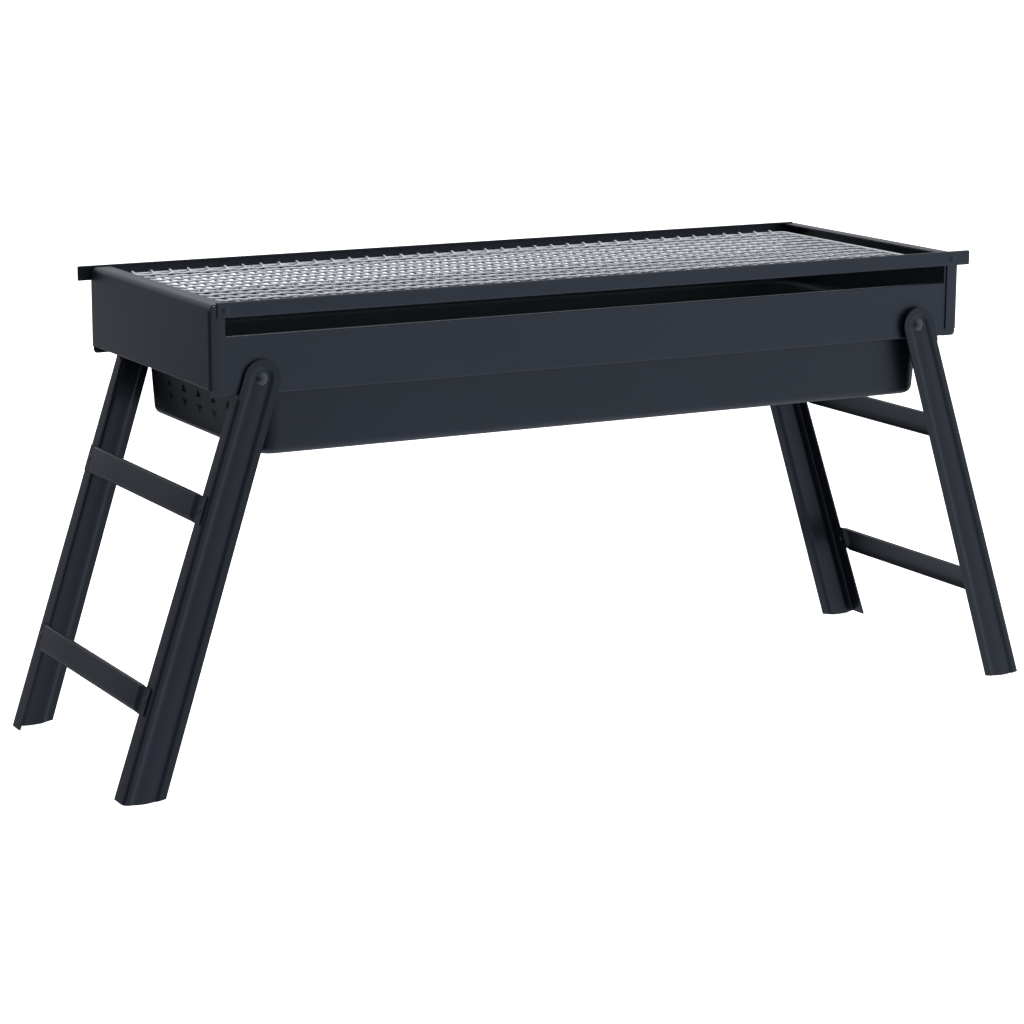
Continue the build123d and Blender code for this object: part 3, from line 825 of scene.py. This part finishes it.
def makeBarPart(pivot, legInner, reach):
    # A left crossbar: rows across the bar rise from its edges to the flat through an upper and a wider lower bend,
    # and columns along it fold that height down to the flat tabs.
    work = barWork
    sheet = legWork["sheet"]
    half = legInner + sheet + legWork["recess"] - flangeWidth(pivot, reach)
    tabEnd = half + work["tab"]
    slope = np.linspace(0, 1, 9)
    stations = half - work["slope"] * slope
    positive = np.concatenate([[tabEnd, half + work["tabStep"]], stations, [work["flatStep"]]])
    along = np.concatenate([-positive, positive[::-1]])
    rise = np.clip((half - np.abs(along)) / work["slope"], 0, 1)
    rise = rise * rise * (3 - 2 * rise)
    turn = np.linspace(0, np.pi / 2, 7)
    grids = []
    for inset in (0.0, sheet):
        w, depth = work["half"] - inset, work["depth"] - inset
        upper, lower = max(work["upperBend"] - inset, work["leastBend"]), work["lowerBend"] - inset
        run = work["lowerRun"] - inset
        across = np.concatenate([[w], w - upper + upper * np.cos(turn), -(w - run) - run * np.sin(turn), [-w]])
        bends = depth - upper + upper * np.sin(turn), depth - lower + lower * np.cos(turn)
        height = np.concatenate([[0.0], *bends, [0.0]])
        flat = sheet - inset
        proud = flat + (height[None, :] - flat) * rise[:, None]
        legEdge = legWork["halfWidth"] + legTaper(pivot) * (reach - across[None, :])
        local = np.stack(np.broadcast_arrays(-legEdge - proud, along[:, None], across[None, :] - reach), -1)
        grids.append(splayed(local, pivot))
    return sheetShell(*grids)


def makeLadders():
    # The left front leg and the left crossbars are made, and the others are their mirror images.
    low, high = cadCorners("left_front_pivot_rivet")
    pivot = ((low[0] + high[0]) / 2, (low[2] + high[2]) / 2)
    panelEdge = cadCorners("front_side_panel")[0][2]
    edges = legWork["cutEdge"], legWork["crease"]
    for ladder in ("left", "right"):
        legInner = cadCorners(f"{ladder}_rear_leg")[1][1] - legWork["sheet"] - legWork["recess"]
        front = makeLegPart(pivot, legInner, panelEdge)
        bars = [makeBarPart(pivot, legInner, reach) for reach in barWork["reaches"]]
        if ladder == "right":
            front = mirrored(front, 0)
            bars = [mirrored(bar, 0) for bar in bars]
        name = ladder.capitalize()
        body = f"{ladder}_ladder"
        for side, part in (("Front", front), ("Rear", mirrored(front, 1))):
            node = f"{ladder}_{side.lower()}_leg"
            makePiece(f"{name}{side}Leg", [part], legCoat, body, "coated_legs", node, *edges)
        for place, bar in zip(("Upper", "Lower"), bars):
            node = f"{ladder}_{place.lower()}_crossbar"
            makePiece(f"{name}{place}Bar", [bar], legCoat, body, "coated_legs", node, *edges)


makeLadders()
print("ladders made")

for node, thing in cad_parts.items():
    if not thing.hide_render:
        thing.data.materials.clear()
        thing.data.materials.append(rivetCoat if "pivot" in node else sheetCoat)
print("rivets and ledges finished")

studio = {
    "floorSize": 60.0, "floor": (0.90, 0.90, 0.90, 1), "floorGlow": 1.2,
    "tint": (0.92, 0.96, 1.08, 1),
    "levels": [(0.0, 1.0), (0.20, 0.55), (0.36, 0.12), (0.52, 0.14), (0.68, 0.38), (1.0, 0.45)],
    "walls": [((0.8, -0.6, 0.0), 1.0), ((-0.5, 0.87, 0.0), 0.20)],
    "lights": [  # name, size, power, place and what it points at
        ("TopLight", (2.4, 1.6), 20.0, (-0.3, 0.6, 2.2), (0, 0, 0.3)),
        ("BackWall", (6.0, 1.6), 14.0, (1.8, 4.2, 1.2), (0, 0, 0.4)),
    ],
}


def makeFloor():
    # A pale square that glows, so that it stays even.
    half = studio["floorSize"] / 2
    mesh = bpy.data.meshes.new("Floor")
    corners = [(-half, -half, 0), (half, -half, 0), (half, half, 0), (-half, half, 0)]
    mesh.from_pydata(corners, [], [(0, 1, 2, 3)])
    floor = bpy.data.objects.new("Floor", mesh)
    scene.collection.objects.link(floor)
    paint = Finish(bpy.data.materials.new("PaleFloor"))
    mesh.materials.append(paint.finishWith({
        "Base Color": studio["floor"],
        "Roughness": 0.9,
        "Emission Color": (1, 1, 1, 1),
        "Emission Strength": studio["floorGlow"],
    }))
    # the coat mirrors the dim studio, not the floor
    floor.visible_glossy = False
    floor.visible_diffuse = False


def makeLight(name, size, power, place, target):
    # A soft light whose back is turned away from its target, with its right-hand side level.
    lamp = bpy.data.lights.new(name, "AREA")
    lamp.shape = "RECTANGLE"
    lamp.size, lamp.size_y = size
    lamp.energy = power
    thing = bpy.data.objects.new(name, lamp)
    scene.collection.objects.link(thing)
    place, target = np.array(place), np.array(target)
    back = place - target
    back /= np.linalg.norm(back)
    right = np.cross((0, 0, 1), back)
    right /= np.linalg.norm(right)
    up = np.cross(back, right)
    turn = Matrix(np.stack([right, up, back], 1).tolist()).to_4x4()
    turn.translation = place.tolist()
    thing.matrix_world = turn


cameraWork = {
    "yaw": 0.50078, "pitch": 0.21141, "roll": 0.0041,  # radians
    "lens": 106.73, "sensor": 36.0,
    "place": (-1.06175, -1.90818, 0.61087),
}


def makeCamera():
    # Stands at its place, looks along the yaw and down by the pitch, and is rolled about the line of sight.
    yaw, pitch, roll = cameraWork["yaw"], cameraWork["pitch"], cameraWork["roll"]
    forward = np.array([math.sin(yaw) * math.cos(pitch), math.cos(yaw) * math.cos(pitch), -math.sin(pitch)])
    right = np.array([math.cos(yaw), -math.sin(yaw), 0])
    up = np.cross(right, forward)
    rolledRight = math.cos(roll) * right + math.sin(roll) * up
    rolledUp = -math.sin(roll) * right + math.cos(roll) * up
    lens = bpy.data.cameras.new("Camera")
    lens.sensor_width = cameraWork["sensor"]
    lens.lens = cameraWork["lens"]
    camera = bpy.data.objects.new("Camera", lens)
    scene.collection.objects.link(camera)
    turn = Matrix(np.stack([rolledRight, rolledUp, -forward], 1).tolist()).to_4x4()
    turn.translation = cameraWork["place"]
    camera.matrix_world = turn
    scene.camera = camera


def makeSky():
    # Soft surroundings: a level that follows how far up or down one looks, and paler walls, each fading with the
    # square of the cosine of the angle away from it.
    world = bpy.data.worlds.new("Studio")
    scene.world = world
    paint = Finish(world)
    way = paint.add("ShaderNodeTexCoord", output=0)
    up = paint.add("ShaderNodeSeparateXYZ", {}, {0: way}, 2)
    level = paint.ramp(up * 0.5 + 0.5, studio["levels"])
    for wallWay, strength in studio["walls"]:
        facing = paint.dot(way, wallWay).clamped()
        level = level + facing * facing * strength
    glow = paint.add("ShaderNodeBackground", {}, {0: studio["tint"], 1: level})
    paint.add("ShaderNodeOutputWorld", {}, {0: glow}, None)


makeFloor()
makeSky()
makeCamera()
for light in studio["lights"]:
    makeLight(*light)
scene.view_settings.view_transform = "Standard"
